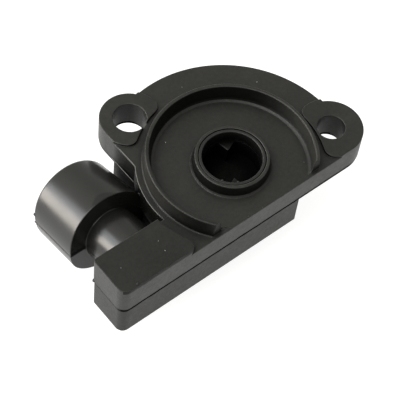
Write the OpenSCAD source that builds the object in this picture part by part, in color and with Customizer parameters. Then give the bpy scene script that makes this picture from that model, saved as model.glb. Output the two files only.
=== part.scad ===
// Throttle position sensor: a moulded housing with two screw ears, a pilot ring and a drive socket.
// X runs along the flat front face, +Y away from it, +Z out of the mounting face.
// The origin is on the rotor axis, level with the mounting face.

/* [Mounting plate] */
// Thickness of the plate, from its mounting face down to the seam
plate_t = 6.0; // [5:0.1:7.5]
// Radius of the broad rear edge about the rotor axis
plate_r = 27.3; // [26.5:0.1:29]
// Radius of the narrow side edge about the rotor axis
plate_side_r = 20.8; // [20.2:0.1:21.3]
// Distance from the rotor axis to the flat front face
front_y = 12.9; // [12.4:0.1:13.6]
// Distance from the rotor axis to each screw hole
hole_pitch_r = 24.7; // [24.4:0.1:26]
// Angle of the left screw hole
left_hole_a = 115.2; // [112:0.1:118]
// Angle of the right screw hole
right_hole_a = -13.2; // [-15:0.1:-11]
// Diameter of the left screw hole
left_hole_d = 7.6; // [6.4:0.1:8]
// Diameter of the right screw hole
right_hole_d = 6.4; // [5:0.1:7]
// Radius of the left ear
left_ear_r = 6.75; // [6.2:0.05:7.2]
// Height of the raised pads round the screw holes
pad_h = 0.55; // [0.3:0.05:1]
// How far a pad reaches past its ear's own radius
pad_margin = 0.65; // [0.4:0.05:0.9]
// Radius about the rotor axis that the pads stay clear of
pad_clear_r = 21.0; // [20.5:0.1:21.6]
// Corner radius of the pads beside the ring
pad_corner_r = 2.4; // [1.5:0.1:2.8]

/* [Pilot ring] */
// Height of the ring over the mounting face
ring_h = 4.05; // [3:0.05:5]
// Outer radius of the ring at its crest
ring_r = 18.85; // [18.4:0.05:19.4]
// Width of the crest
ring_crest = 0.85; // [0.7:0.05:1]
// How far the inner foot of the ring stands in from the crest
ring_draft_in = 0.45; // [0.2:0.05:0.7]
// How far the outer foot stands out from the crest
ring_draft_out = 0.35; // [0.2:0.05:0.6]
// Size of the fillet round the inner foot
ring_fillet = 0.75; // [0.3:0.05:1]
// Distance from the front face to the cut ends of the ring
ring_setback = 0.85; // [0.5:0.05:1.5]

/* [Hub] */
// Height of the hub collar over the mounting face
hub_h = 2.85; // [2:0.05:3.5]
// Outer radius of the collar at its top
collar_r = 8.2; // [8.1:0.05:8.6]
// How far the foot of the collar stands out
collar_draft = 0.35; // [0.1:0.05:0.6]
// Outer radius of the rotor's drive socket
socket_r = 7.4; // [7.2:0.05:7.6]
// Running clearance between the drive socket and the collar, on radius
rotor_gap = 0.08; // [0.05:0.01:0.1]

/* [Raised block] */
// Height of the block over the mounting face
block_h = 1.75; // [1:0.05:2.5]
// Distance from the rotor axis to the left end of the arm
arm_x = 39.2; // [38:0.1:41]
// Distance from the rotor axis to the rear side of the arm
arm_back_y = 2.6; // [2.2:0.1:3]
// Radius about the rotor axis that the block is cut back to
block_clear_r = 22.5; // [22:0.1:23]
// Corner radius at the front left of the arm
front_corner_r = 2.0; // [1:0.1:3]
// Corner radius at the rear left of the arm
rear_corner_r = 0.8; // [0.5:0.1:1.5]
// Radius of the block's nose beside the ring
nose_r = 1.8; // [1.2:0.1:2]

/* [Rear cover] */
// Depth of the cover below the seam
cover_h = 9.35; // [9:0.05:10.5]
// Thickness of the cover's rim plate
rim_t = 0.75; // [0.6:0.05:1]
// Outer radius of the can about the rotor axis
can_r = 16.0; // [15.6:0.1:16.6]
// Wall thickness of the housing and of the cover
wall = 1.6; // [1.3:0.1:1.8]
// How far the cover stands in from the housing's outline
cover_step = 0.12; // [0.05:0.01:0.3]
// Height of the weld gap at the seam
weld_h = 0.4; // [0.2:0.05:0.5]
// Depth of the weld gap
weld_in = 0.6; // [0.3:0.05:0.8]
// How far the skirt under the plate's left edge stands in from it
skirt_in = 0.5; // [0.3:0.05:0.8]
// Radius of the pivot pin that the rotor turns on
pivot_r = 1.5; // [1.2:0.1:1.8]
// Bevel round the rear edge of the cover
rear_bevel = 0.6; // [0.3:0.1:1]

/* [Connector] */
// Angle by which the connector points down from the plate
connector_tilt = 14.5; // [12:0.5:15]
// Distance from the left end of the arm to the connector's axis
connector_in = 10.7; // [10:0.1:10.9]
// Outer radius of the shroud at its mouth
shroud_r = 10.0; // [9.8:0.1:10.2]
// How much wider the shroud is at its rear end, on radius
shroud_draft = 0.4; // [0.2:0.05:0.5]
// Length of the shroud along its axis
shroud_l = 14.4; // [13.5:0.1:16]
// Thickness of the shroud wall
shroud_wall = 1.5; // [1.3:0.1:1.7]
// Outer radius of the neck
neck_r = 6.4; // [6.2:0.1:6.8]
// Length of the neck from the arm to the shroud
neck_l = 7.8; // [7:0.1:8.5]
// Depth of the connector's axis below the mounting face, level with the rotor's axis
connector_z = 6.6; // [6.4:0.05:6.65]
// Thickness of the floor of the socket
socket_floor = 1.4; // [1:0.1:2]
// Spacing of the terminals
terminal_pitch = 3.6; // [3.4:0.1:3.7]
// Width of a terminal blade
blade_w = 1.5; // [1.2:0.1:1.8]
// Thickness of a terminal blade
blade_t = 0.64; // [0.5:0.02:0.8]
// Distance from the shroud's mouth back to the blade tips
blade_back = 2.4; // [1.5:0.1:4]

/* [Rotor] */
// Wall of the drive socket
socket_wall = 0.8; // [0.7:0.05:1]
// How far the drive socket stays below the collar's top
socket_drop = 0.1; // [0:0.05:0.3]
// Depth of the drive socket's floor below the mounting face
socket_depth = 4.4; // [4:0.1:5]
// Radius at the tip of the drive lugs
lug_tip_r = 3.65; // [3:0.05:4.5]
// How much narrower the drive socket is below the tops of its lugs, on radius
socket_step = 0.2; // [0.2:0.05:0.3]
// Angle of the first drive lug
lug_a = 61; // [50:1:70]
// Angle that the foot of a drive lug spans
lug_span = 40; // [30:1:50]
// Depth of the lug tops below the collar's top
lug_drop = 2.9; // [2.9:0.05:3.4]
// Thickness of the plate over the rotor's disc
ceiling_t = 2.2; // [2:0.1:2.6]
// Radius of the rotor's disc
disc_r = 10.9; // [10.5:0.1:11]
// Thickness of the rotor's disc
disc_t = 1.5; // [1.2:0.1:1.8]
// Radius of the rotor's boss behind the disc
boss_r = 8.8; // [8.5:0.1:9]
// Length of the rotor's boss behind the disc
boss_l = 5.2; // [4.8:0.1:5.4]
// Angle of the stop tab at rest
tab_a = 30; // [25:1:35]
// Angle that the rotor turns through
travel_a = 100; // [90:1:105]

/* [Inner parts] */
// Wire diameter of the return spring
spring_wire = 0.8; // [0.6:0.05:0.9]
// Clearance between the rotor's boss and the return spring, on radius
spring_play = 0.7; // [0.4:0.05:0.9]
// Number of full turns of the return spring
spring_turns = 3; // [2:1:3]
// Angle of the return spring's fixed leg
spring_leg_a = 148.6; // [148.6:0.1:151]
// Thickness of the element board
board_t = 1.0; // [0.8:0.1:1.2]
// Radius of the round end of the element board
board_r = 13.4; // [13:0.1:13.8]
// Thickness of the printed tracks
track_t = 0.06; // [0.04:0.01:0.1]
// Thickness of the thrust washer
washer_t = 0.35; // [0.25:0.05:0.4]
// Thickness of the wiper's spring sheet
wiper_t = 0.25; // [0.2:0.01:0.3]
// Mean radius of the collector track
collector_r = 6.8; // [6.6:0.1:7]
// Mean radius of the resistor track
resistor_r = 10.4; // [10:0.1:10.5]
// Width of each printed track
track_w = 1.7; // [1.5:0.1:1.9]
// Length of the wiper's fingers, seen from above
finger_l = 6.0; // [5:0.1:6.5]

/* [Hidden] */

$fn = 96;
reach = 100;
eps = 0.01;
fit_gap = 0.03;

housing_color = [0.16, 0.16, 0.155];
cover_color = [0.19, 0.19, 0.185];
rotor_color = [0.13, 0.13, 0.13];
steel_color = [0.72, 0.73, 0.75];
brass_color = [0.80, 0.64, 0.30];
tin_color = [0.78, 0.78, 0.76];

left_hole = hole_pitch_r * [cos(left_hole_a), sin(left_hole_a)];
right_hole = hole_pitch_r * [cos(right_hole_a), sin(right_hole_a)];
right_ear_r = front_y + right_hole[1];
rotor_hole_r = socket_r + rotor_gap;
can_in_r = can_r - wall;
rear_z = -plate_t - cover_h;
floor_z = rear_z + wall;
block_in_z = block_h - wall;

// s runs along the connector's axis, from the point that is level with the rotor's axis
connector_x = arm_x - connector_in;
neck_end_y = neck_l - arm_back_y;
neck_end_s = neck_end_y / cos(connector_tilt);
mouth_s = neck_end_s + shroud_l;
shroud_in_r = shroud_r - shroud_wall;
shroud_rear_r = shroud_r + shroud_draft;
socket_floor_s = (neck_end_y + shroud_in_r * sin(connector_tilt)) / cos(connector_tilt) + socket_floor;
inner_s = (-arm_back_y - wall) / cos(connector_tilt) - 1.5;

shroud_clear = 0.3;
end_play = 0.1;
socket_in_r = socket_r - socket_wall;
socket_bevel = 0.1;
lug_top_z = hub_h - lug_drop;
disc_top_z = -ceiling_t - washer_t - end_play;
disc_bottom_z = disc_top_z - disc_t;
boss_end_z = disc_bottom_z - boss_l;
board_top_z = floor_z + board_t;
stop_gap_a = 2;
tab_half_a = 6;
stop_a = 8;
stop_r = disc_r + 0.45;
front_in_y = -front_y + wall;
arm_in_w = front_y - arm_back_y - 2 * wall;

seal_out_r = 9.6;
seal_in_r = socket_r + 0.3;
seal_h = 1.1;

pivot_gap = 0.06;
pivot_top_z = -socket_depth - 1.8;
wave_t = 0.3;
pin_boss_r = 3.0;
pin_boss_z = boss_end_z - wave_t - end_play;
board_post_r = 0.7;
board_posts = [[10.6, -6.1], [-7.0, 10.1], [-arm_x + 3.6, -7.75]];

wiper_a = 40;
wiper_base_a = -55;
wiper_rivet_r = 0.55;
wiper_rivet_at = [4.7, 7.1];
finger_w = 0.36;
finger_pitch = 0.52;

spring_steps = 24;
spring_r = boss_r + spring_play + spring_wire / 2;
spring_pitch = spring_wire + 0.12;
spring_top_z = disc_bottom_z - 0.3 - spring_wire / 2;
spring_end_z = spring_top_z - spring_turns * spring_pitch;

terminal_bend_y = -arm_back_y - wall - 1.2;
terminal_foot_y = terminal_bend_y - 2.9;
terminal_rivet_y = (terminal_bend_y + terminal_foot_y) / 2;
terminal_rivet_r = 0.45;

// A pie slice of a circle, less than a half turn wide
module slice(r, a0, a1) {
    am = (a0 + a1) / 2;
    intersection() {
        circle(r = r);
        polygon([[0, 0], 2 * r * [cos(a0), sin(a0)], 2 * r * [cos(am), sin(am)], 2 * r * [cos(a1), sin(a1)]]);
    }
}

// A flat band between two radii, less than a half turn wide
module band(r0, r1, a0, a1) {
    difference() {
        slice(r1, a0, a1);
        circle(r = r0);
    }
}

// What a corner of radius r loses, for a corner whose sides run along +X and along side * Y
module corner_waste(at, r, side) {
    translate(at) difference() {
        translate([-1, side > 0 ? -1 : -r]) square(r + 1);
        translate([r, side * r]) circle(r = r);
    }
}

module arm_outline(inset) {
    x0 = -arm_x + inset;
    y0 = -front_y + inset;
    y1 = -arm_back_y - inset;
    difference() {
        translate([x0, y0]) square([arm_x - inset, y1 - y0]);
        corner_waste([x0, y0], max(front_corner_r - inset, 0.1), 1);
        corner_waste([x0, y1], rear_corner_r, -1);
    }
}

module plate_outline(inset = 0) {
    difference() {
        union() {
            slice(plate_r - inset, right_hole_a, left_hole_a);
            circle(r = plate_side_r - inset);
            translate(left_hole) circle(r = left_ear_r - inset);
            translate(right_hole) circle(r = right_ear_r - inset);
            translate([left_hole[0] - left_ear_r + inset, 0]) square([left_ear_r - inset, left_hole[1]]);
            translate([0, -front_y + inset]) square([right_hole[0], right_ear_r - inset]);
            arm_outline(inset);
        }
        translate([-reach, -front_y + inset - reach]) square([2 * reach, reach]);
    }
}

module block_outline() {
    nose_y = -front_y + nose_r;
    nose_x = -sqrt(pow(block_clear_r + nose_r, 2) - pow(nose_y, 2));
    nose_d = [nose_x, nose_y] / norm([nose_x, nose_y]);
    difference() {
        arm_outline(0);
        circle(r = block_clear_r);
        difference() {
            polygon([[nose_x, nose_y], [nose_x, nose_y] - (nose_r + 1) * nose_d,
                     [0, nose_y], [0, -front_y - 1], [nose_x, -front_y - 1]]);
            translate([nose_x, nose_y]) circle(r = nose_r);
        }
    }
}

// A pad round a screw hole, with round corners beside the ring
module pad_outline(hole, hole_a, ear_r) {
    outer_r = ear_r + pad_margin;
    mid_r = pad_clear_r + pad_corner_r;
    in_r = outer_r - pad_corner_r;
    turn = acos((pow(hole_pitch_r, 2) + pow(mid_r, 2) - pow(in_r, 2)) / (2 * hole_pitch_r * mid_r));
    intersection() {
        plate_outline();
        difference() {
            translate(hole) circle(r = outer_r);
            circle(r = pad_clear_r);
            for (a = [hole_a - turn, hole_a + turn]) {
                mid = mid_r * [cos(a), sin(a)];
                to_ring = -(pad_corner_r + 1) * [cos(a), sin(a)];
                to_side = (pad_corner_r + 1) * (mid - hole) / norm(mid - hole);
                difference() {
                    polygon([mid, mid + to_ring, mid + 2 * (to_ring + to_side), mid + to_side]);
                    translate(mid) circle(r = pad_corner_r);
                }
            }
        }
    }
}

module pilot_ring() {
    edge = 0.13;
    crest_in_r = ring_r - ring_crest;
    foot_in_r = crest_in_r - ring_draft_in;
    foot_out_r = ring_r + ring_draft_out;
    difference() {
        rotate_extrude() polygon([
            [foot_in_r - ring_fillet, -0.5], [foot_in_r - ring_fillet, 0.02],
            [foot_in_r - 0.3 * ring_fillet, 0.3 * ring_fillet], [foot_in_r, ring_fillet],
            [crest_in_r, ring_h - edge], [crest_in_r + edge, ring_h],
            [ring_r - edge, ring_h], [ring_r, ring_h - edge],
            [foot_out_r, 0.2], [foot_out_r + 0.15, 0], [foot_out_r + 0.15, -0.5]]);
        translate([-reach, -front_y + ring_setback - reach, -1]) cube([2 * reach, reach, ring_h + 2]);
    }
}

module collar() {
    edge = 0.13;
    rotate_extrude() polygon([
        [rotor_hole_r - 1, -0.5], [rotor_hole_r - 1, hub_h], [collar_r - edge, hub_h],
        [collar_r, hub_h - edge], [collar_r + collar_draft, 0.4],
        [collar_r + collar_draft + 0.35, 0.02], [collar_r + collar_draft + 0.35, -0.5]]);
}

// Turns a shape made along +Z so that it lies along the connector's axis, starting at s
module on_connector(s) {
    translate([-connector_x, 0, -connector_z]) rotate([-90 - connector_tilt, 0, 0]) translate([0, 0, s]) children();
}

module connector_body() {
    bevel = 0.5;
    difference() {
        union() {
            on_connector(inner_s + 1) cylinder(r = neck_r, h = neck_end_s - inner_s);
            // the rear face is square to the axis on the upper half and upright on the lower half
            difference() {
                on_connector(neck_end_s) rotate_extrude() polygon([
                    [0, 0], [shroud_rear_r, 0], [shroud_r, shroud_l - bevel],
                    [shroud_r - 0.3 * bevel, shroud_l - 0.3 * bevel], [shroud_r - bevel, shroud_l], [0, shroud_l]]);
                translate([-reach, neck_end_y - reach, -reach - connector_z]) cube([2 * reach, reach, reach]);
            }
        }
        // nothing stands into the closed case
        translate([-arm_x + wall, front_in_y, -reach]) cube([arm_x, arm_in_w, reach + block_in_z]);
    }
}

module connector_socket() {
    socket_l = mouth_s - socket_floor_s;
    difference() {
        union() {
            on_connector(socket_floor_s) cylinder(r = shroud_in_r, h = socket_l + 1);
            on_connector(mouth_s - 0.5) cylinder(r1 = shroud_in_r, r2 = shroud_in_r + 0.6, h = 0.6);
        }
        // ribs that let the mating plug enter one way round
        for (side = [-1, 1]) on_connector(socket_floor_s - 1)
            translate([side * 3.2 - 0.6, -shroud_in_r - 1.1, 0]) cube([1.2, 3, socket_l - 1]);
    }
}

module terminal_place(i) {
    translate([-connector_x + i * terminal_pitch, 0, 0]) children();
}

module housing() color(housing_color) difference() {
    union() {
        difference() {
            union() {
                translate([0, 0, -plate_t]) linear_extrude(plate_t) plate_outline();
                translate([0, 0, -plate_t]) linear_extrude(plate_t + block_h) block_outline();
                linear_extrude(pad_h) pad_outline(left_hole, left_hole_a, left_ear_r);
                linear_extrude(pad_h) pad_outline(right_hole, right_hole_a, right_ear_r);
                pilot_ring();
                collar();
            }
            // room for the rotor and for the terminals
            intersection() {
                translate([0, 0, -plate_t - 1]) cylinder(r = can_in_r, h = plate_t + 1 - ceiling_t);
                translate([-reach, front_in_y, -reach]) cube(2 * reach);
            }
            translate([-arm_x + wall, front_in_y, -plate_t - 1])
                cube([arm_x - block_clear_r - 2 * wall, arm_in_w, plate_t + 1 + block_in_z]);
            translate([-arm_x + wall, front_in_y, -plate_t - 1])
                cube([arm_x - wall, arm_in_w, plate_t + 1 - ceiling_t]);
        }
        connector_body();
        housing_stops();
    }
    translate([0, 0, -plate_t - 1]) cylinder(r = rotor_hole_r, h = plate_t + hub_h + 2);
    translate([0, 0, -ceiling_t - 1]) cylinder(r = seal_out_r + fit_gap, h = seal_h + 1);
    translate([left_hole[0], left_hole[1], -plate_t - 1]) cylinder(d = left_hole_d, h = plate_t + 3);
    translate([right_hole[0], right_hole[1], -plate_t - 1]) cylinder(d = right_hole_d, h = plate_t + 3);
    connector_socket();
    // the neck is hollow as far as the socket's floor
    on_connector(inner_s) cylinder(r = neck_r - wall, h = socket_floor_s - socket_floor - inner_s);
    for (i = [-1:1]) on_connector(0)
        translate([i * terminal_pitch - blade_w / 2 - fit_gap, -blade_t / 2 - fit_gap, 0])
            cube([blade_w + 2 * fit_gap, blade_t + 2 * fit_gap, socket_floor_s + 1]);
}

// Stops that end the rotor's travel. The spring's fixed leg bears on the second one
module housing_stops() {
    first_a = tab_a - tab_half_a - stop_gap_a - stop_a;
    last_a = tab_a + tab_half_a + travel_a + stop_gap_a;
    stop_z = disc_bottom_z - 0.3;
    leg_z = spring_top_z - spring_wire / 2 - 0.3;
    for (s = [[first_a, stop_z], [last_a, leg_z]])
        translate([0, 0, s[1]]) linear_extrude(-ceiling_t + 0.1 - s[1])
            band(stop_r, can_in_r + 0.2, s[0], s[0] + stop_a);
}

module rear_cover() color(cover_color) difference() {
    union() {
        translate([0, 0, -plate_t - weld_h]) linear_extrude(weld_h) plate_outline(weld_in);
        translate([0, 0, -plate_t - rim_t]) linear_extrude(rim_t - weld_h + eps) plate_outline(cover_step);
        translate([0, 0, rear_z + rear_bevel]) linear_extrude(cover_h - rim_t - rear_bevel + eps) cover_outline(0);
        translate([0, 0, rear_z + rear_bevel / 2]) linear_extrude(rear_bevel) cover_outline(rear_bevel / 4);
        translate([0, 0, rear_z]) linear_extrude(rear_bevel) cover_outline(rear_bevel * 0.75);
        translate([0, 0, rear_z]) linear_extrude(cover_h - rim_t + eps) skirt_outline();
    }
    difference() {
        union() {
            translate([0, 0, floor_z]) intersection() {
                cylinder(r = can_in_r, h = cover_h);
                translate([-reach, front_in_y, 0]) cube([2 * reach, 2 * reach, cover_h]);
            }
            translate([-arm_x + wall, front_in_y, floor_z]) cube([arm_x - wall, arm_in_w, cover_h]);
        }
        // pin and shoulder that carry the rotor and its wave washer
        translate([0, 0, rear_z]) cylinder(r = pin_boss_r, h = pin_boss_z - rear_z);
        translate([0, 0, rear_z]) cylinder(r = pivot_r, h = pivot_top_z - rear_z);
        // posts that hold the board
        for (p = board_posts) translate([p[0], p[1], rear_z]) cylinder(r = board_post_r, h = wall + board_t + 0.5);
    }
    // saddle for the neck, and room beside the shroud
    on_connector(inner_s) cylinder(r = neck_r + fit_gap, h = neck_end_s - inner_s);
    on_connector(neck_end_s - shroud_clear)
        cylinder(r = shroud_rear_r + shroud_clear, h = shroud_l + 2 * shroud_clear);
    translate([left_hole[0], left_hole[1], -plate_t - 1]) cylinder(d = left_hole_d + 0.4, h = 2);
    translate([right_hole[0], right_hole[1], -plate_t - 1]) cylinder(d = right_hole_d + 0.4, h = 2);
}

module cover_outline(inset) {
    difference() {
        union() {
            circle(r = can_r - inset);
            arm_outline(cover_step + inset);
        }
        translate([-reach, -front_y + cover_step + inset - reach]) square([2 * reach, reach]);
    }
}

// A wall under the plate's left edge, from the arm to the ear
module skirt_outline() {
    head_room = 2.95;
    difference() {
        intersection() {
            plate_outline(skirt_in);
            slice(plate_side_r + left_ear_r, left_hole_a, 188);
            translate([-can_r + 2 - reach, left_hole[1] - head_room - reach]) square([reach, reach]);
        }
        plate_outline(skirt_in + wall);
        circle(r = can_r - 1);
    }
}

module drive_lug() {
    half = lug_span / 2;
    r = socket_in_r + socket_wall / 2;
    polygon([[lug_tip_r, 0], r * [cos(-half), sin(-half)], r * [cos(half), sin(half)]]);
}

module rotor() color(rotor_color) difference() {
    edge = 0.15;
    union() {
        rotate_extrude() polygon([
            [0, boss_end_z], [boss_r, boss_end_z], [boss_r, disc_bottom_z], [disc_r, disc_bottom_z],
            [disc_r, disc_top_z], [socket_r, disc_top_z], [socket_r, hub_h - socket_drop - edge],
            [socket_r - edge, hub_h - socket_drop], [0, hub_h - socket_drop]]);
        translate([0, 0, disc_bottom_z]) linear_extrude(disc_t)
            band(disc_r - 1, can_in_r - 0.35, tab_a - tab_half_a, tab_a + tab_half_a);
    }
    // socket for the throttle shaft, a little wider over the lugs
    difference() {
        translate([0, 0, -socket_depth]) cylinder(r = socket_in_r - socket_step, h = socket_depth + hub_h + 1);
        for (a = [lug_a, lug_a + 180]) rotate(a)
            translate([0, 0, -socket_depth - 1]) linear_extrude(socket_depth + 1 + lug_top_z) drive_lug();
    }
    translate([0, 0, lug_top_z]) cylinder(r = socket_in_r, h = lug_drop + 1);
    translate([0, 0, hub_h - socket_drop - socket_bevel])
        cylinder(r1 = socket_in_r, r2 = socket_in_r + 2 * socket_bevel, h = 2 * socket_bevel);
    translate([0, 0, boss_end_z - 1]) cylinder(r = pivot_r + pivot_gap, h = pivot_top_z + 0.3 - boss_end_z + 1);
    // holes for the rivets of the wiper
    wiper_rivet_places() translate([0, 0, boss_end_z - 1]) cylinder(r = wiper_rivet_r, h = 1 + 2.5);
    // slot for the moving leg of the spring
    rotate(spring_leg_a) translate([boss_r - 1.9, -spring_wire / 2 - 0.1, boss_end_z - 1])
        cube([3, spring_wire + 0.2, spring_end_z + spring_wire / 2 + 0.1 - boss_end_z + 1]);
    // pockets that keep the boss from being solid
    for (a = [90, 180, 240]) translate([0, 0, boss_end_z - 1]) linear_extrude(boss_l - 0.5)
        band(pivot_r + 1.6, boss_r - 3.0, a - 22, a + 22);
}

module wiper_rivet_places() {
    for (r = wiper_rivet_at) rotate(wiper_a + wiper_base_a) translate([r, 0, 0]) children();
}

module rotor_seal() color("#202020")
    translate([0, 0, -ceiling_t + 0.02]) rotate_extrude()
        polygon([[seal_in_r + 0.35, 0], [seal_out_r, 0], [seal_out_r, seal_h - 0.02],
                 [seal_in_r + 0.6, seal_h - 0.02], [seal_in_r + 0.35, 0.7], [seal_in_r, 0.55], [seal_in_r, 0.3]]);

module thrust_washer() color(steel_color)
    translate([0, 0, -ceiling_t - washer_t]) linear_extrude(washer_t) difference() {
        circle(r = disc_r - 0.4);
        circle(r = socket_r + 0.35);
    }

// Eight-sided wire swept along a list of points, with flat ends
function ring_at(p, q, r) =
    let (d = (q - p) / norm(q - p), side = cross(d, [0, 0, 1]), s = side / norm(side), u = cross(s, d))
    [for (k = [0:7]) r * (cos(45 * k) * s + sin(45 * k) * u)];

module wire(path, d) {
    n = len(path);
    points = [for (i = [0:n - 1])
        let (a = path[max(i - 1, 0)], b = path[min(i + 1, n - 1)], ring = ring_at(a, b, d / 2))
        for (v = ring) path[i] + v];
    faces = concat(
        [[for (k = [0:7]) k]],
        [for (i = [0:n - 2]) for (k = [0:7])
            [8 * i + k, 8 * (i + 1) + k, 8 * (i + 1) + (k + 1) % 8, 8 * i + (k + 1) % 8]],
        [[for (k = [7:-1:0]) 8 * (n - 1) + k]]);
    polyhedron(points, faces, convexity = 6);
}

function at(r, a, z) = [r * cos(a), r * sin(a), z];

module return_spring() color(steel_color) {
    steps = spring_turns * spring_steps;
    wire(concat(
        [at(can_in_r - 0.5, spring_leg_a, spring_top_z), at(spring_r + 1, spring_leg_a, spring_top_z),
         at(spring_r + 0.35, spring_leg_a + 1.6, spring_top_z), at(spring_r, spring_leg_a + 6, spring_top_z)],
        [for (i = [1:steps - 1]) at(spring_r, spring_leg_a + 360 * i / spring_steps,
                                    spring_top_z - spring_pitch * i / spring_steps)],
        [at(spring_r, spring_leg_a - 6, spring_end_z), at(spring_r - 0.35, spring_leg_a - 1.6, spring_end_z),
         at(spring_r - 1, spring_leg_a, spring_end_z), at(boss_r - 1.6, spring_leg_a, spring_end_z)]), spring_wire);
}

module wiper_contact() color(brass_color) rotate(wiper_a) {
    root_w = 2.0;
    drop = boss_end_z - wiper_t - (board_top_z + track_t + 0.05);
    slope = asin(drop / finger_l);
    translate([0, 0, boss_end_z - wiper_t]) linear_extrude(wiper_t) difference() {
        union() {
            band(pin_boss_r + 0.4, boss_r - 0.5, wiper_base_a - 16, wiper_base_a + 16);
            translate([collector_r - 1.5, -finger_l - root_w]) square([resistor_r - collector_r + 2.4, root_w]);
        }
        for (r = wiper_rivet_at) rotate(wiper_base_a) translate([r, 0]) circle(r = wiper_rivet_r + 0.02);
    }
    for (r = [collector_r, resistor_r], k = [-1:1])
        translate([r + k * finger_pitch - finger_w / 2, -finger_l - 0.05, boss_end_z - wiper_t])
            rotate([-slope, 0, 0]) cube([finger_w, finger_l, wiper_t]);
}

module wiper_rivets() color(brass_color)
    wiper_rivet_places() translate([0, 0, boss_end_z + 2.4]) mirror([0, 0, 1]) {
        cylinder(r = wiper_rivet_r - 0.02, h = 2.4 + wiper_t + eps);
        translate([0, 0, 2.4 + wiper_t]) cylinder(r = 1.0, h = 0.4);
    }

module wave_washer() color(steel_color)
    translate([0, 0, pin_boss_z]) linear_extrude(wave_t) difference() {
        circle(r = pin_boss_r - 0.1);
        circle(r = pivot_r + 0.25);
    }

module board_outline() {
    difference() {
        union() {
            intersection() {
                circle(r = board_r);
                translate([-reach, front_in_y + 0.2]) square(2 * reach);
            }
            translate([-arm_x + wall + 0.4, front_in_y + 0.4]) square([arm_x - wall - 0.4, arm_in_w - 0.8]);
        }
        circle(r = pin_boss_r + 0.1);
        for (p = board_posts) translate(p) circle(r = board_post_r + 0.05);
        for (i = [-1:1]) translate([-connector_x + i * terminal_pitch, terminal_rivet_y])
            circle(r = terminal_rivet_r + 0.01);
    }
}

module element_board() color([0.90, 0.88, 0.80])
    translate([0, 0, floor_z]) linear_extrude(board_t) board_outline();

module track(r) band(r - track_w / 2, r + track_w / 2, wiper_a - 12, wiper_a + travel_a + 12);

module resistor_track() color([0.10, 0.10, 0.11])
    translate([0, 0, board_top_z]) linear_extrude(track_t) track(resistor_r);

module collector_track() color([0.62, 0.60, 0.56])
    translate([0, 0, board_top_z]) linear_extrude(track_t) track(collector_r);

// Height of a blade's lower or upper side (side -1 or 1) at y
function blade_z(y, side) = -connector_z - y * tan(connector_tilt) + side * blade_t / 2 / cos(connector_tilt);

// A point of a blade, at s along the connector's axis and h above it, as height and y
function blade_at(s, h) = [-connector_z - s * sin(connector_tilt) + h * cos(connector_tilt),
                           s * cos(connector_tilt) + h * sin(connector_tilt)];

module terminal() color(tin_color) difference() {
    tip_s = mouth_s - blade_back;
    translate([blade_w / 2, 0, 0]) rotate([0, -90, 0]) linear_extrude(blade_w)
        polygon([
            [blade_z(terminal_bend_y + blade_t, -1), terminal_bend_y + blade_t],
            blade_at(tip_s - 0.8, -blade_t / 2), blade_at(tip_s, -blade_t / 5),
            blade_at(tip_s, blade_t / 5), blade_at(tip_s - 0.8, blade_t / 2),
            [blade_z(terminal_bend_y, 1), terminal_bend_y],
            [board_top_z + blade_t, terminal_bend_y],
            [board_top_z + blade_t, terminal_foot_y],
            [board_top_z, terminal_foot_y],
            [board_top_z, terminal_bend_y + blade_t]]);
    translate([0, terminal_rivet_y, board_top_z - 1]) cylinder(r = terminal_rivet_r + 0.01, h = blade_t + 2);
}

module terminal_supply() terminal_place(-1) terminal();
module terminal_signal() terminal_place(0) terminal();
module terminal_ground() terminal_place(1) terminal();

module terminal_rivets() color(brass_color)
    for (i = [-1:1]) terminal_place(i) translate([0, terminal_rivet_y, 0]) {
        translate([0, 0, floor_z + 0.05]) cylinder(r = terminal_rivet_r, h = board_t + blade_t);
        translate([0, 0, board_top_z + blade_t]) cylinder(r = 0.65, h = 0.35);
    }

housing();
rear_cover();
rotor();
rotor_seal();
thrust_washer();
return_spring();
wiper_contact();
wiper_rivets();
wave_washer();
element_board();
resistor_track();
collector_track();
terminal_supply();
terminal_signal();
terminal_ground();
terminal_rivets();
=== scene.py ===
import math

import bpy
from mathutils import Matrix, Vector


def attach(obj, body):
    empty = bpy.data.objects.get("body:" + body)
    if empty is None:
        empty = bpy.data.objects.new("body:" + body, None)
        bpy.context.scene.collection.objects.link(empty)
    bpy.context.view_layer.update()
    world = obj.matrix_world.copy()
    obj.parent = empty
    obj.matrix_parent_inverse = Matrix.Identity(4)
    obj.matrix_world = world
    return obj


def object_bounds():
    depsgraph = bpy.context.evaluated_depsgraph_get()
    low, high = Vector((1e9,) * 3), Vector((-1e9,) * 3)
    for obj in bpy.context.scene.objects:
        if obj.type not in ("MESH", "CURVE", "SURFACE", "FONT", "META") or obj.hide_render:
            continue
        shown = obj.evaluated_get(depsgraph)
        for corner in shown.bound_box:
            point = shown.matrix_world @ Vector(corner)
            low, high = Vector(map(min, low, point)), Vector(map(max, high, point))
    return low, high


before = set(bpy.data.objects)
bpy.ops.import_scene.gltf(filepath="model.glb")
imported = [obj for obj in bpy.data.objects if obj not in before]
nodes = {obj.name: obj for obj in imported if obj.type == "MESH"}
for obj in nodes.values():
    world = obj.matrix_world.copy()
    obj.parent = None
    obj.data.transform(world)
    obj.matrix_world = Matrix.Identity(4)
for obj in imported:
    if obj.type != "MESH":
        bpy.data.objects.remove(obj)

mm = 0.001
cadLow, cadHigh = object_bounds()
scene = bpy.context.scene
scene.view_settings.view_transform = "Standard"
print("frame loaded:", len(nodes), "nodes")

# camera, fitted to the circles and edges of the part
shot = {
    "azimuth": -45.47,      # degrees round from the front face
    "elevation": 56.26,
    "roll": 7.83,
    "distance": 324.21 * mm,
    "aimRight": -6.72 * mm,     # where the lens points, beside the rotor's axis
    "aimUp": -7.77 * mm,
    "lens": 135.0,
    "sensor": 36.0,
    "clip": (0.01, 10),
}


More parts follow.
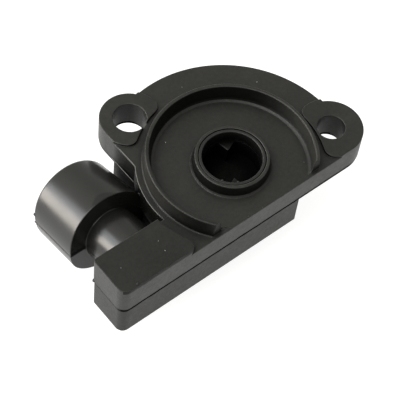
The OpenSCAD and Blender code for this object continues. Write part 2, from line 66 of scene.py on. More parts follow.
def addCamera():
    az, el, roll = (math.radians(shot[k]) for k in ("azimuth", "elevation", "roll"))
    back = Vector((math.cos(el) * math.sin(az), -math.cos(el) * math.cos(az), math.sin(el)))
    level = Vector((math.cos(az), math.sin(az), 0))
    rise = back.cross(level)
    right = math.cos(roll) * level + math.sin(roll) * rise
    up = math.cos(roll) * rise - math.sin(roll) * level
    data = bpy.data.cameras.new("photoCamera")
    data.lens = shot["lens"]
    data.sensor_width = shot["sensor"]
    data.clip_start, data.clip_end = shot["clip"]
    cam = bpy.data.objects.new("photoCamera", data)
    cam.matrix_world = Matrix.Translation(
        shot["distance"] * back + shot["aimRight"] * right + shot["aimUp"] * up
    ) @ Matrix((right, up, back)).transposed().to_4x4()
    scene.collection.objects.link(cam)
    scene.camera = cam


addCamera()
print("camera set")


# small helpers for building node trees
def addNode(tree, kind, at=(0, 0), **values):
    node = tree.nodes.new(kind)
    node.location = at
    for key, value in values.items():
        setattr(node, key, value)
    return node


def setInputs(node, **values):
    for key, value in values.items():
        node.inputs[key.replace("_", " ")].default_value = value


def mathNode(tree, operation, a, b=None, clamp=False):
    node = addNode(tree, "ShaderNodeMath", operation=operation, use_clamp=clamp)
    for i, value in enumerate((a, b)):
        if value is None:
            continue
        if isinstance(value, (int, float)):
            node.inputs[i].default_value = value
        else:
            tree.links.new(value, node.inputs[i])
    return node.outputs[0]


def times(tree, first, *others):
    for other in others:
        first = mathNode(tree, "MULTIPLY", first, other)
    return first


def largest(tree, first, *others):
    for other in others:
        first = mathNode(tree, "MAXIMUM", first, other)
    return first


def rest(tree, share):      # what a share leaves of the whole
    return mathNode(tree, "SUBTRACT", 1.0, share)


def between(tree, value, span):
    inside = mathNode(tree, "COMPARE", value, sum(span) / 2)
    inside.node.inputs[2].default_value = (span[1] - span[0]) / 2
    return inside


def mixColour(tree, amount, first, second):
    node = addNode(tree, "ShaderNodeMix", data_type="RGBA")
    for socket, value in ((node.inputs[0], amount), (node.inputs[6], first), (node.inputs[7], second)):
        if hasattr(value, "is_linked"):
            tree.links.new(value, socket)
        else:
            socket.default_value = value
    return node.outputs[2]


def noise(tree, coords, scale, detail, rough=0.5):
    node = addNode(tree, "ShaderNodeTexNoise")
    setInputs(node, Scale=scale, Detail=detail, Roughness=rough)
    tree.links.new(coords, node.inputs["Vector"])
    return node.outputs["Fac"]


def ramp(tree, value, low, high):
    node = addNode(tree, "ShaderNodeMapRange", clamp=True)
    setInputs(node, From_Min=low, From_Max=high, To_Min=0.0, To_Max=1.0)
    tree.links.new(value, node.inputs["Value"])
    return node.outputs["Result"]


def addBump(tree, shader, height, strength, depth, rounded=None):
    bump = addNode(tree, "ShaderNodeBump")
    setInputs(bump, Strength=strength, Distance=depth)
    tree.links.new(height, bump.inputs["Height"])
    if rounded:
        tree.links.new(rounded, bump.inputs["Normal"])
    tree.links.new(bump.outputs[0], shader.inputs["Normal"])


def startMaterial(name):
    mat = bpy.data.materials.new(name)
    mat.use_nodes = True
    tree = mat.node_tree
    tree.nodes.clear()
    out = addNode(tree, "ShaderNodeOutputMaterial", (900, 0))
    shader = addNode(tree, "ShaderNodeBsdfPrincipled", (600, 0))
    tree.links.new(shader.outputs[0], out.inputs["Surface"])
    coords = addNode(tree, "ShaderNodeTexCoord", (-900, 0)).outputs["Object"]
    return mat, tree, shader, coords


def grey(level, cold=0.0):      # a little less blue where the plastic looks olive
    return (level, level, level * (1 - cold), 1.0)


# a noise is its scale per metre, its detail and its roughness, and a range is where a mask starts and ends

# black glass-filled nylon as it comes out of a spark-eroded mould
housingLook = {
    "colour": grey(0.009, 0.12),
    "paler": grey(0.021, 0.12),     # cloudy patches of fibre near the skin
    "roughness": 0.44,
    "sheen": 0.44,
    "grain": (3600.0, 3.0, 0.6),
    "grainDepth": 0.06 * mm,
    "grainStrength": 0.55,
    "edgeRadius": 0.40 * mm,
    "edgeWearHighlightColour": grey(0.15, 0.05),     # rubbed corners: wear and painted edge highlight
    "dust": 0.9,
    "hollowReach": 3.8 * mm,    # how far off a wall may be and still shade a corner
    "hollowRange": (0.22, 0.78),
}
coverLook = dict(housingLook, colour=grey(0.009, 0.12), paler=grey(0.020, 0.12), roughness=0.46, sheen=0.31)
# the rotor's long reach of painted shade darkens it deep in its socket
rotorLook = dict(housingLook, colour=grey(0.008, 0.05), paler=grey(0.013, 0.05), roughness=0.42, dust=0.3,
                 hollowReach=9.0 * mm, hollowRange=(0.55, 0.95))

# the skin that all the mouldings share
skin = {
    "clouds": (95.0, 4.0, 0.6), "cloudRange": (0.38, 0.72), "cloudShare": 0.6,
    "flowStretch": (60.0, 420.0, 420.0),        # drawn out along x, as the melt ran
    "flow": (1.0, 3.0, 0.55), "flowRange": (0.45, 0.75), "flowShare": 0.5,
    "fibres": (1150.0, 3.0, 0.7), "fibreRange": (0.36, 0.66), "fibreShare": 0.45,
    "wearHighlightRange": (0.03, 0.30), "wearHighlightShare": 0.6,
    "breaks": (700.0, 3.0, 0.6), "breakRange": (0.25, 0.60),        # in the rubbed, highlighted corners
    "specks": 210.0, "speckSize": 0.028, "speckColour": grey(0.42, 0.03),       # dust, in cells per metre
    "speckChoice": (900.0, 0.0), "speckFrom": 0.66,     # which of the cells have some
    "mottle": (1300.0, 2.0, 0.7), "mottleDepth": 0.22,
    "cloudRoughness": 0.07, "roughnessLess": 0.03,
    "darkest": grey(0.002),
}

# the neck and shroud lie beyond the arm's rear side, left of the plate
connectorPlace = {"x": -19.4 * mm, "y": -2.45 * mm}
connectorLook = {
    "colour": grey(0.009, 0.08),
    "sheen": 0.56,
    "smoother": 0.20,
    "open": 0.6,        # how much of the shade in its corners is lifted
    "grainLess": 0.85,
}

# dark places, in metres: dirt and painted shade in the weld seam, a painted shade line under the block's front
# edge, and painted shade and dark reflection on walls that face something dark
grimeAndShade = {
    "seam": -6.19 * mm, "seamHalf": 0.56 * mm,
    "wander": 0.34 * mm, "wanderNoise": (420.0, 3.0),
    "lineFade": (0.6, 1.35),        # where a line starts and ends to fade, in halves of its width
    "facingFront": (-0.1, 0.6), "facingUp": (0.35, 0.7),        # ranges of the normal
    "sides": 0.22,      # how much of the seam's dirt and painted shade shows on the faces that aren't in front
    # a painted shade line under the block's front edge
    "edge": 1.18 * mm, "edgeHalf": 0.62 * mm, "edgeShade": 0.80, "edgeFront": -12.2 * mm,
    "block": (-12.0 * mm, 1.6 * mm), "blockShade": 0.26,     # painted shade on its top face, left of x and above z
    # painted dark reflection on the ring's and hub's walls, and painted shade in the screw holes
    "ringIn": (6.9 * mm, 21.5 * mm), "ringUp": (0.25 * mm, 3.95 * mm), "ringShade": 0.74,
    "hubRadius": 9.8 * mm, "hubShade": 0.62,
    "bores": ((-10.52 * mm, 22.35 * mm, 4.4 * mm), (24.05 * mm, -5.64 * mm, 3.9 * mm)), "boreShade": 0.42,
    "nookX": (-21.0 * mm, -15.4 * mm), "nookTop": -0.4 * mm, "nookShade": 0.62,     # painted shade on the wall by the connector
    "nookFrom": (7.0 * mm, 9.0 * mm), "nookTo": (19.4 * mm, 17.4 * mm),     # where it starts and ends along y
    "under": -7.0 * mm, "underShade": 0.70,     # painted shade on the shroud's rear face below the neck
    "underFacing": (0.7, 0.95),
}


def overConnector(tree, coords):
    parts = addNode(tree, "ShaderNodeSeparateXYZ")
    tree.links.new(coords, parts.inputs[0])
    left = mathNode(tree, "LESS_THAN", parts.outputs["X"], connectorPlace["x"])
    behind = mathNode(tree, "GREATER_THAN", parts.outputs["Y"], connectorPlace["y"])
    return times(tree, left, behind)


def darkLine(tree, height, level, half):
    away = mathNode(tree, "ABSOLUTE", mathNode(tree, "SUBTRACT", height, level))
    start, end = grimeAndShade["lineFade"]
    return rest(tree, ramp(tree, away, half * start, half * end))


def farFrom(tree, coords, centre):      # the distance from an upright axis
    flat = addNode(tree, "ShaderNodeVectorMath", operation="MULTIPLY_ADD")
    flat.inputs[1].default_value = (1, 1, 0)
    flat.inputs[2].default_value = (-centre[0], -centre[1], 0)
    tree.links.new(coords, flat.inputs[0])
    away = addNode(tree, "ShaderNodeVectorMath", operation="LENGTH")
    tree.links.new(flat.outputs[0], away.inputs[0])
    return away.outputs["Value"]


def grimeAndShadeAmount(tree, coords, normal, connector):
    place = addNode(tree, "ShaderNodeSeparateXYZ")
    facing = addNode(tree, "ShaderNodeSeparateXYZ")
    tree.links.new(coords, place.inputs[0])
    tree.links.new(normal, facing.inputs[0])
    x, y, z = (place.outputs[axis] for axis in "XYZ")
    forward = times(tree, facing.outputs["Y"], -1.0)
    front = ramp(tree, forward, *grimeAndShade["facingFront"])
    upright = rest(tree, ramp(tree, mathNode(tree, "ABSOLUTE", facing.outputs["Z"]), *grimeAndShade["facingUp"]))

    # dirt and painted shade in the weld seam, and a painted shade line under the block's front edge
    uneven = mathNode(tree, "SUBTRACT", noise(tree, coords, *grimeAndShade["wanderNoise"]), 0.5)
    height = mathNode(tree, "ADD", z, times(tree, uneven, grimeAndShade["wander"]))
    sides = mathNode(tree, "ADD", times(tree, front, 1 - grimeAndShade["sides"]), grimeAndShade["sides"])
    seam = times(tree, darkLine(tree, height, grimeAndShade["seam"], grimeAndShade["seamHalf"]), sides, rest(tree, connector))
    edge = times(tree, darkLine(tree, height, grimeAndShade["edge"], grimeAndShade["edgeHalf"]), front,
                 mathNode(tree, "LESS_THAN", y, grimeAndShade["edgeFront"]), grimeAndShade["edgeShade"])
    dark = times(tree, largest(tree, seam, edge), upright)

    # painted shade on the shroud's lower rear face, in the screw holes, and on the wall between the left ear
    # and the arm
    dark = largest(tree, dark, times(tree, connector, mathNode(tree, "LESS_THAN", z, grimeAndShade["under"]),
                                     grimeAndShade["underShade"], ramp(tree, forward, *grimeAndShade["underFacing"])))
    for *centre, radius in grimeAndShade["bores"]:
        inside = mathNode(tree, "LESS_THAN", farFrom(tree, coords, centre), radius)
        dark = largest(tree, dark, times(tree, inside, upright, grimeAndShade["boreShade"]))
    left, right = grimeAndShade["nookX"]
    nook = times(tree, mathNode(tree, "LESS_THAN", x, right), mathNode(tree, "LESS_THAN", z, grimeAndShade["nookTop"]),
                 ramp(tree, y, *grimeAndShade["nookFrom"]), ramp(tree, y, *grimeAndShade["nookTo"]),
                 mathNode(tree, "GREATER_THAN", x, left), upright, grimeAndShade["nookShade"])
    dark = largest(tree, dark, nook)

    # painted dark reflection on the walls of the ring and the hub, which mirror the dark floor before them
    away = farFrom(tree, coords, (0, 0))
    hub = mathNode(tree, "LESS_THAN", away, grimeAndShade["hubRadius"])
    shade = largest(tree, times(tree, front, grimeAndShade["ringShade"]), times(tree, hub, grimeAndShade["hubShade"]))
    wall = times(tree, between(tree, away, grimeAndShade["ringIn"]), between(tree, z, grimeAndShade["ringUp"]), shade, upright)
    # painted shade on the block's top face
    blockLeft, blockAbove = grimeAndShade["block"]
    top = times(tree, mathNode(tree, "LESS_THAN", x, blockLeft), mathNode(tree, "GREATER_THAN", z, blockAbove),
                grimeAndShade["blockShade"], rest(tree, upright))
    return largest(tree, dark, top, wall)


def mouldedPlastic(name, look, glossy=None, withGrimeAndShade=False):
    mat, tree, shader, coords = startMaterial(name)
    link = tree.links.new
    where = overConnector(tree, coords)
    clouds = ramp(tree, noise(tree, coords, *skin["clouds"]), *skin["cloudRange"])
    streaks = addNode(tree, "ShaderNodeMapping")
    streaks.inputs["Scale"].default_value = skin["flowStretch"]
    link(coords, streaks.inputs["Vector"])
    flow = ramp(tree, noise(tree, streaks.outputs[0], *skin["flow"]), *skin["flowRange"])
    flow = mathNode(tree, "ADD", times(tree, flow, skin["flowShare"]), 1 - skin["flowShare"])
    fibres = ramp(tree, noise(tree, coords, *skin["fibres"]), *skin["fibreRange"])
    patch = mathNode(tree, "ADD", times(tree, clouds, flow, skin["cloudShare"]),
                     times(tree, fibres, skin["fibreShare"]), clamp=True)
    base = mixColour(tree, patch, look["colour"], look["paler"])

    # corners are rubbed paler where the rounded normal leaves the face's own: wear and painted edge highlight
    edge = addNode(tree, "ShaderNodeBevel", samples=6)
    edge.inputs["Radius"].default_value = look["edgeRadius"]
    face = addNode(tree, "ShaderNodeNewGeometry")
    dot = addNode(tree, "ShaderNodeVectorMath", operation="DOT_PRODUCT")
    link(edge.outputs[0], dot.inputs[0])
    link(face.outputs["Normal"], dot.inputs[1])
    wearAndHighlight = times(tree, ramp(tree, rest(tree, dot.outputs["Value"]), *skin["wearHighlightRange"]),
                ramp(tree, noise(tree, coords, *skin["breaks"]), *skin["breakRange"]), skin["wearHighlightShare"])
    base = mixColour(tree, wearAndHighlight, base, look["edgeWearHighlightColour"])

    # dust and lint caught in the grain
    cells = addNode(tree, "ShaderNodeTexVoronoi", feature="F1")
    setInputs(cells, Scale=skin["specks"], Randomness=1.0)
    link(coords, cells.inputs["Vector"])
    chosen = mathNode(tree, "GREATER_THAN", noise(tree, cells.outputs["Position"], *skin["speckChoice"]),
                      skin["speckFrom"])
    speck = times(tree, mathNode(tree, "LESS_THAN", cells.outputs["Distance"], skin["speckSize"]),
                  chosen, look["dust"])
    base = mixColour(tree, speck, base, skin["speckColour"])

    # narrow corners, seams and gaps take less light: painted shade, which darkens colour and sheen by ambient
    # occlusion
    hollow = addNode(tree, "ShaderNodeAmbientOcclusion", samples=8)
    setInputs(hollow, Distance=look["hollowReach"])
    clear = ramp(tree, hollow.outputs["AO"], *look["hollowRange"])
    sheen = look["sheen"]
    mottle = mathNode(tree, "SUBTRACT", noise(tree, coords, *skin["mottle"]), 0.5)
    roughness = mathNode(tree, "ADD", times(tree, clouds, skin["cloudRoughness"]),
                         look["roughness"] - skin["roughnessLess"])
    roughness = mathNode(tree, "ADD", roughness, times(tree, mottle, skin["mottleDepth"], rest(tree, where)))
    grain = noise(tree, coords, *look["grain"])
    if glossy:      # the polished part of the mould, over the connector
        lifted = times(tree, where, rest(tree, clear), glossy["open"])
        clear = mathNode(tree, "ADD", clear, lifted)
        sheen = mathNode(tree, "ADD", times(tree, where, glossy["sheen"] - sheen), sheen)
        base = mixColour(tree, where, base, glossy["colour"])
        roughness = mathNode(tree, "SUBTRACT", roughness, times(tree, where, glossy["smoother"]))
        grain = times(tree, grain, rest(tree, times(tree, where, glossy["grainLess"])))
    # dirt in the seam, and painted shade and dark reflection on walls, holes and edges
    if withGrimeAndShade:
        clear = times(tree, clear, rest(tree, grimeAndShadeAmount(tree, coords, face.outputs["Normal"], where)))
    link(mixColour(tree, clear, skin["darkest"], base), shader.inputs["Base Color"])
    shader.inputs["Specular IOR Level"].default_value = look["sheen"]
    link(times(tree, clear, sheen), shader.inputs["Specular IOR Level"])
    link(roughness, shader.inputs["Roughness"])
    addBump(tree, shader, grain, look["grainStrength"], look["grainDepth"], edge.outputs[0])
    return mat


metalLooks = {
    "steelSheet": {"colour": (0.60, 0.60, 0.61, 1), "roughness": 0.30, "streak": 1800.0},
    "springWire": {"colour": (0.46, 0.46, 0.48, 1), "roughness": 0.26, "streak": 1200.0},
    "wiperSheet": {"colour": (0.74, 0.64, 0.42, 1), "roughness": 0.24, "streak": 2400.0},
    "rivetBrass": {"colour": (0.78, 0.60, 0.30, 1), "roughness": 0.30, "streak": 900.0},
    "tinnedBlade": {"colour": (0.70, 0.69, 0.66, 1), "roughness": 0.33, "streak": 1500.0},
}
rolling = {     # what the metals share
    "stretch": (1.0, 0.06, 1.0), "detail": (4.0, 0.6),
    "tarnish": (160.0, 3.0, 0.6), "tarnishRange": (0.45, 0.8), "dull": 0.62,
    "streakRoughness": 0.16, "roughnessLess": 0.08,
    "bump": (0.25, 0.01 * mm),      # strength and depth
}


def rolledMetal(name, look):
    mat, tree, shader, coords = startMaterial(name)
    drawn = addNode(tree, "ShaderNodeMapping")
    drawn.inputs["Scale"].default_value = rolling["stretch"]
    tree.links.new(coords, drawn.inputs["Vector"])
    streak = noise(tree, drawn.outputs[0], look["streak"], *rolling["detail"])
    tarnish = ramp(tree, noise(tree, coords, *rolling["tarnish"]), *rolling["tarnishRange"])
    dull = tuple(rolling["dull"] * c for c in look["colour"][:3]) + (1.0,)
    tree.links.new(mixColour(tree, tarnish, look["colour"], dull), shader.inputs["Base Color"])
    shader.inputs["Metallic"].default_value = 1.0
    rough = mathNode(tree, "ADD", times(tree, streak, rolling["streakRoughness"]),
                     look["roughness"] - rolling["roughnessLess"])
    tree.links.new(rough, shader.inputs["Roughness"])
    addBump(tree, shader, streak, *rolling["bump"])
    return mat


flatLooks = {
    "sealRubber": {"colour": grey(0.016), "other": grey(0.028), "roughness": 0.62, "scale": 900.0},
    "boardLaminate": {"colour": (0.42, 0.33, 0.18, 1), "other": (0.52, 0.42, 0.25, 1),
                      "roughness": 0.42, "scale": 1300.0},
    # paler nylon for the edge ridges: wear and painted edge highlight
    "wornHighlightNylon": {"colour": grey(0.07, 0.05), "other": grey(0.20, 0.05), "roughness": 0.5, "scale": 1500.0},
    "lintFibre": {"colour": grey(0.22, 0.06), "other": grey(0.50, 0.06), "roughness": 0.85, "scale": 5200.0},
    "carbonInk": {"colour": (0.012, 0.012, 0.014, 1), "other": (0.03, 0.03, 0.034, 1),
                  "roughness": 0.36, "scale": 2600.0},
    "silverInk": {"colour": (0.46, 0.45, 0.42, 1), "other": (0.56, 0.55, 0.52, 1),
                  "roughness": 0.34, "scale": 2600.0},
}
flatGrain = {       # what they share
    "detail": (4.0, 0.6),
    "grainRoughness": 0.14, "roughnessLess": 0.06,
    "bump": (0.3, 0.015 * mm),      # strength and depth
}


def grainedFlat(name, look):
    mat, tree, shader, coords = startMaterial(name)
    grain = noise(tree, coords, look["scale"], *flatGrain["detail"])
    tree.links.new(mixColour(tree, grain, look["colour"], look["other"]), shader.inputs["Base Color"])
    rough = mathNode(tree, "ADD", times(tree, grain, flatGrain["grainRoughness"]),
                     look["roughness"] - flatGrain["roughnessLess"])
    tree.links.new(rough, shader.inputs["Roughness"])
    addBump(tree, shader, grain, *flatGrain["bump"])
    return mat


finishes = {
    "housing": mouldedPlastic("housingNylon", housingLook, glossy=connectorLook, withGrimeAndShade=True),
    "rear_cover": mouldedPlastic("coverNylon", coverLook, withGrimeAndShade=True),
    "rotor": mouldedPlastic("rotorAcetal", rotorLook),
}
finishes.update({name: rolledMetal(name, look) for name, look in metalLooks.items()})
finishes.update({name: grainedFlat(name, look) for name, look in flatLooks.items()})
nodeFinish = {
    "housing": "housing", "rear_cover": "rear_cover", "rotor": "rotor",
    "rotor_seal": "sealRubber", "thrust_washer": "steelSheet", "wave_washer": "steelSheet",
    "return_spring": "springWire", "wiper_contact": "wiperSheet", "wiper_rivets": "rivetBrass",
    "element_board": "boardLaminate", "resistor_track": "carbonInk", "collector_track": "silverInk",
    "terminal_supply": "tinnedBlade", "terminal_signal": "tinnedBlade", "terminal_ground": "tinnedBlade",
    "terminal_rivets": "rivetBrass",
}
for name, finish in nodeFinish.items():
    for place in nodes[name].material_slots:
        place.material = finishes[finish]
print("finishes on", len(nodeFinish), "nodes")


# small things on the mouldings are made with Geometry Nodes and turned into plain meshes
def startTree(name, **sockets):
    tree = bpy.data.node_groups.new(name, "GeometryNodeTree")
    for label, kind in sockets.items():
        tree.interface.new_socket(label, in_out="INPUT", socket_type="NodeSocket" + kind)
    tree.interface.new_socket("Geometry", in_out="OUTPUT", socket_type="NodeSocketGeometry")
    return tree, addNode(tree, "NodeGroupInput", (-900, 0)).outputs, addNode(tree, "NodeGroupOutput", (900, 0))


def finishTree(tree, shape, material, out):
    link = tree.links.new
    whole = addNode(tree, "GeometryNodeRealizeInstances", (500, 0))
    smooth = addNode(tree, "GeometryNodeSetShadeSmooth", (600, 0))
    coat = addNode(tree, "GeometryNodeSetMaterial", (700, 0))
    link(shape, whole.inputs[0])
    link(whole.outputs[0], smooth.inputs[0])
    link(smooth.outputs[0], coat.inputs[0])
    link(material, coat.inputs["Material"])
    link(coat.outputs[0], out.inputs[0])


ridgeShape = {"sides": 5, "noise": (900.0, 2.0), "step": 0.4 * mm, "unevenness": 1.2}


def ridgeTree():        # a thin uneven ridge along the path it is given
    tree, given, out = startTree(
        "flashRidge", Geometry="Geometry", Size="Float", Step="Float", Unevenness="Float", Material="Material")
    link = tree.links.new
    line = addNode(tree, "GeometryNodeMeshToCurve")
    link(given["Geometry"], line.inputs["Mesh"])
    cut = addNode(tree, "GeometryNodeResampleCurve", mode="LENGTH")
    link(line.outputs[0], cut.inputs["Curve"])
    link(given["Step"], cut.inputs["Length"])
    ring = addNode(tree, "GeometryNodeCurvePrimitiveCircle")
    ring.inputs["Resolution"].default_value = ridgeShape["sides"]
    link(given["Size"], ring.inputs["Radius"])
    rough = noise(tree, addNode(tree, "GeometryNodeInputPosition").outputs[0], *ridgeShape["noise"])
    spread = times(tree, mathNode(tree, "SUBTRACT", rough, 0.5), given["Unevenness"])
    sweep = addNode(tree, "GeometryNodeCurveToMesh")
    link(cut.outputs[0], sweep.inputs["Curve"])
    link(ring.outputs[0], sweep.inputs["Profile Curve"])
    link(mathNode(tree, "ADD", spread, 1.0), sweep.inputs["Scale"])
    sweep.inputs["Fill Caps"].default_value = True
    finishTree(tree, sweep.outputs[0], given["Material"], out)
    return tree


crumbShape = {"subdivisions": 3, "turn": (0.2, 0.2, 6.28), "noise": (2600.0, 2.0), "seed": 7}


def crumbTree():        # a lumpy crumb on each point, as large as its crumbSize
    tree, given, out = startTree(
        "crumbs", Geometry="Geometry", Squash="Vector", Lumps="Float", Seed="Int", Material="Material")
    link = tree.links.new
    ball = addNode(tree, "GeometryNodeMeshIcoSphere")
    setInputs(ball, Radius=1.0, Subdivisions=crumbShape["subdivisions"])
    size = addNode(tree, "GeometryNodeInputNamedAttribute", data_type="FLOAT")
    size.inputs["Name"].default_value = "crumbSize"
    turn = addNode(tree, "FunctionNodeRandomValue", data_type="FLOAT_VECTOR")
    turn.inputs[1].default_value = crumbShape["turn"]
    link(given["Seed"], turn.inputs["Seed"])
    scale = addNode(tree, "ShaderNodeVectorMath", operation="SCALE")
    link(given["Squash"], scale.inputs[0])
    link(size.outputs[0], scale.inputs["Scale"])
    spread = addNode(tree, "GeometryNodeInstanceOnPoints")
    link(given["Geometry"], spread.inputs["Points"])
    link(ball.outputs[0], spread.inputs["Instance"])
    link(turn.outputs[0], spread.inputs["Rotation"])
    link(scale.outputs[0], spread.inputs["Scale"])
    whole = addNode(tree, "GeometryNodeRealizeInstances")
    link(spread.outputs[0], whole.inputs[0])
    lumps = noise(tree, addNode(tree, "GeometryNodeInputPosition").outputs[0], *crumbShape["noise"])
    push = addNode(tree, "ShaderNodeVectorMath", operation="SCALE")
    link(addNode(tree, "GeometryNodeInputNormal").outputs[0], push.inputs[0])
    link(times(tree, mathNode(tree, "SUBTRACT", lumps, 0.5), given["Lumps"]), push.inputs["Scale"])
    move = addNode(tree, "GeometryNodeSetPosition")
    link(whole.outputs[0], move.inputs["Geometry"])
    link(push.outputs[0], move.inputs["Offset"])
    finishTree(tree, move.outputs[0], given["Material"], out)
    return tree


def bakePiece(name, tree, values, body, points, sizes=None):
    mesh = bpy.data.meshes.new(name + "Points")
    path = [] if sizes else [(i, i + 1) for i in range(len(points) - 1)]
    mesh.from_pydata([Vector(p) * mm for p in points], path, [])
    if sizes:
        stored = mesh.attributes.new("crumbSize", "FLOAT", "POINT")
        for i, size in enumerate(sizes):
            stored.data[i].value = size * mm
    holder = bpy.data.objects.new(name + "Source", mesh)
    scene.collection.objects.link(holder)
    modifier = holder.modifiers.new(name, "NODES")
    modifier.node_group = tree
    for socket in tree.interface.items_tree:
        if socket.in_out == "INPUT" and socket.name in values:
            modifier[socket.identifier] = values[socket.name]
    made = bpy.data.meshes.new_from_object(holder.evaluated_get(bpy.context.evaluated_depsgraph_get()))
    made.name = name
    holder.modifiers.remove(modifier)
    bpy.data.objects.remove(holder)
    piece = bpy.data.objects.new(name, made)
    scene.collection.objects.link(piece)
    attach(piece, body)
    print(name, "made,", len(made.polygons), "faces")


# the connector's axis, which tilts down, in mm
plug = {"foot": Vector((-28.5, 0, -6.6)), "tilt": math.radians(14.5)}


def alongPlug(s, off, above=0.0):      # s along the axis and off it to the left, turned up by some degrees
    tilt, turn = plug["tilt"], math.radians(above)
    along = Vector((0, math.cos(tilt), -math.sin(tilt)))
    rise = Vector((0, math.sin(tilt), math.cos(tilt)))
    return plug["foot"] + s * along + off * (math.sin(turn) * rise - math.cos(turn) * Vector((1, 0, 0)))


# the plate's left edge runs from the ear's pad to the arm, in mm and degrees
plateSide = {"corner": (-17.12, 17.3, 0), "radius": 20.77, "start": 145.6, "end": 184.0, "steps": 12}


def plateEdge():
    start, steps, radius = plateSide["start"], plateSide["steps"], plateSide["radius"]
    turns = [math.radians(start + (plateSide["end"] - start) * i / steps) for i in range(steps + 1)]
    curve = [Vector((radius * math.cos(a), radius * math.sin(a), 0)) for a in turns]
    return [Vector(plateSide["corner"])] + curve


flash = {       # paths in mm, and the ridge's size
    "shroudFlash": {"path": [alongPlug(5.6, 10.36), alongPlug(19.6, 9.97)], "size": 0.13, "finish": "housing"},
    "neckFlash": {"path": [alongPlug(-2.3, 6.36), alongPlug(5.25, 6.36)], "size": 0.12, "finish": "housing"},
    # the two paler ridges along the flange's and plate's edges are flash with a painted edge highlight
    "flangeFlashHighlight": {"path": [Vector((-17.25, 19.6, -5.93)), Vector((-17.25, 11.7, -5.93))],
                    "size": 0.12, "finish": "wornHighlightNylon"},
    "plateEdgeFlashHighlight": {"path": plateEdge(), "size": 0.09, "finish": "wornHighlightNylon"},
}
ridge = ridgeTree()
for name, line in flash.items():
    values = {"Size": line["size"] * mm, "Step": ridgeShape["step"], "Unevenness": ridgeShape["unevenness"],
              "Material": finishes[line["finish"]]}
    bakePiece(name, ridge, values, "case", line["path"])

crumbs = {      # x, y, z and radius in mm
    "gateNubs": {
        "body": "case", "slot": "housing_plastic", "finish": "housing",
        "squash": (1, 1, 0.8), "lumps": 0.25,
        "at": ((*alongPlug(19.5, 9.8, 12), 0.36), (-38.93, -3.1, -5.95, 0.46), (-12.25, -10.4, 0.05, 0.30),
               (-12.0, -11.4, 0.03, 0.22), (-11.2, -11.8, 0.02, 0.26), (-10.6, -12.6, -0.05, 0.24),
               (-35.2, -12.5, 1.75, 0.30), (-5.6, -12.6, -0.05, 0.18), (-1.7, -12.6, -0.05, 0.16)),
    },
    "rimBurrs": {
        "body": "rotor_assembly", "slot": "rotor_plastic", "finish": "rotor",
        "squash": (1, 1, 0.7), "lumps": 0.2,
        "at": ((-5.6, -3.45, 2.68, 0.26), (-3.12, -5.78, 2.68, 0.30)),
    },
    "lint": {
        "body": "case", "slot": "housing_plastic", "finish": "lintFibre",
        "squash": (1.4, 0.7, 0.6), "lumps": 0.12,
        "at": ((-7.98, 12.82, 0.03, 0.11), (-25.83, -9.53, 1.78, 0.125), (-25.5, -6.92, 1.78, 0.06),
               (19.08, 13.89, 0.03, 0.115), (-35.66, -7.5, 1.78, 0.08), (-12.4, -9.9, 0.03, 0.12),
               (13.2, -9.0, 0.03, 0.06), (4.4, 22.6, 0.03, 0.07)),
    },
}
crumb = crumbTree()
for name, kind in crumbs.items():
    values = {"Squash": kind["squash"], "Lumps": kind["lumps"] * mm, "Seed": crumbShape["seed"],
              "Material": finishes[kind["finish"]]}
    bakePiece(name, crumb, values, kind["body"],
              [p[:3] for p in kind["at"]], [p[3] for p in kind["at"]])

# pale floor, white to the camera
ground = {"level": cadLow.z, "half": 2.5, "colour": 0.36, "seen": 0.86, "mirrored": 0.74}


def addFloor():
    data = bpy.data.meshes.new("floor")
    s, z = ground["half"], ground["level"]
    data.from_pydata([(-s, -s, z), (s, -s, z), (s, s, z), (-s, s, z)], [], [(0, 1, 2, 3)])
    floor = bpy.data.objects.new("floor", data)
    scene.collection.objects.link(floor)
    mat = bpy.data.materials.new("paleFloor")
    mat.use_nodes = True
    tree = mat.node_tree
    tree.nodes.clear()
    out = addNode(tree, "ShaderNodeOutputMaterial")
    card = addNode(tree, "ShaderNodeBsdfDiffuse")
    card.inputs["Color"].default_value = (ground["colour"],) * 3 + (1,)
    glow = addNode(tree, "ShaderNodeEmission")
    rays = addNode(tree, "ShaderNodeLightPath")
    seen = largest(tree, rays.outputs["Is Camera Ray"], rays.outputs["Is Transmission Ray"])
    glowing = largest(tree, times(tree, seen, ground["seen"]),
                      times(tree, rays.outputs["Is Glossy Ray"], ground["mirrored"]))
    tree.links.new(glowing, glow.inputs["Strength"])
    both = addNode(tree, "ShaderNodeAddShader")
    tree.links.new(card.outputs[0], both.inputs[0])
    tree.links.new(glow.outputs[0], both.inputs[1])
    tree.links.new(both.outputs[0], out.inputs["Surface"])
    data.materials.append(mat)


sky = {
    "seen": 1.0,
    "white": (1, 1, 1, 1),
    "overhead": 0.56,       # what lights the part from above
    "low": 1.25,        # and from near the horizon, on the window's side
    "tint": (1.0, 0.99, 0.93, 1.0),
    "window": (-0.75, 0.66, 0.0),
    "windowRange": (0.2, 1.0),      # how far a direction turns to the window
}


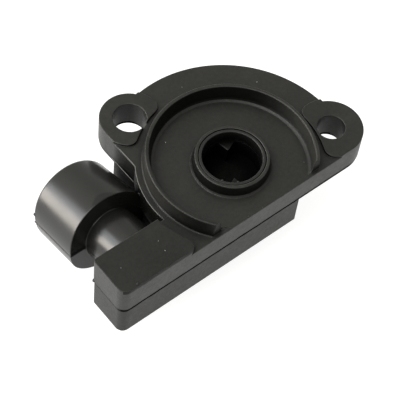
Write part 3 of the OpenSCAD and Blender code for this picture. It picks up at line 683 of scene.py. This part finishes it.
def addWorld():
    world = bpy.data.worlds.new("studio")
    world.use_nodes = True
    scene.world = world
    tree = world.node_tree
    tree.nodes.clear()
    out = addNode(tree, "ShaderNodeOutputWorld")
    back = addNode(tree, "ShaderNodeBackground")
    rays = addNode(tree, "ShaderNodeLightPath")
    seen = largest(tree, rays.outputs["Is Camera Ray"], rays.outputs["Is Transmission Ray"])
    look = addNode(tree, "ShaderNodeTexCoord").outputs["Generated"]
    toWindow = addNode(tree, "ShaderNodeVectorMath", operation="DOT_PRODUCT")
    toWindow.inputs[1].default_value = sky["window"]
    tree.links.new(look, toWindow.inputs[0])
    low = ramp(tree, toWindow.outputs["Value"], *sky["windowRange"])
    strength = mathNode(tree, "ADD", times(tree, low, sky["low"] - sky["overhead"]), sky["overhead"])
    tree.links.new(mixColour(tree, seen, sky["tint"], sky["white"]), back.inputs["Color"])
    gap = times(tree, seen, mathNode(tree, "SUBTRACT", sky["seen"], strength))
    tree.links.new(mathNode(tree, "ADD", strength, gap), back.inputs["Strength"])
    tree.links.new(back.outputs[0], out.inputs["Surface"])


lamps = {       # place and size in metres, power in watts
    "windowSoftbox": {"at": (-0.60, 0.53, 0.08), "size": (0.60, 0.28), "power": 4.6, "tint": (1.0, 0.93, 0.85)},
    "upperWindow": {"at": (-0.58, 0.52, 0.34), "size": (0.60, 0.34), "power": 2.4, "tint": (0.90, 0.94, 1.0)},
    "topSoftbox": {"at": (-0.40, 0.20, 0.85), "size": (0.7, 0.6), "power": 6.0, "tint": (1.0, 0.99, 0.95)},
}


def addLamps():
    for name, lamp in lamps.items():
        data = bpy.data.lights.new(name, "AREA")
        data.shape = "RECTANGLE"
        data.size, data.size_y = lamp["size"]
        data.energy = lamp["power"]
        data.color = lamp["tint"]
        light = bpy.data.objects.new(name, data)
        place = Vector(lamp["at"])
        light.matrix_world = Matrix.Translation(place) @ place.to_track_quat("Z", "Y").to_matrix().to_4x4()
        scene.collection.objects.link(light)


addFloor()
addWorld()
addLamps()
print("stage and lamps set")
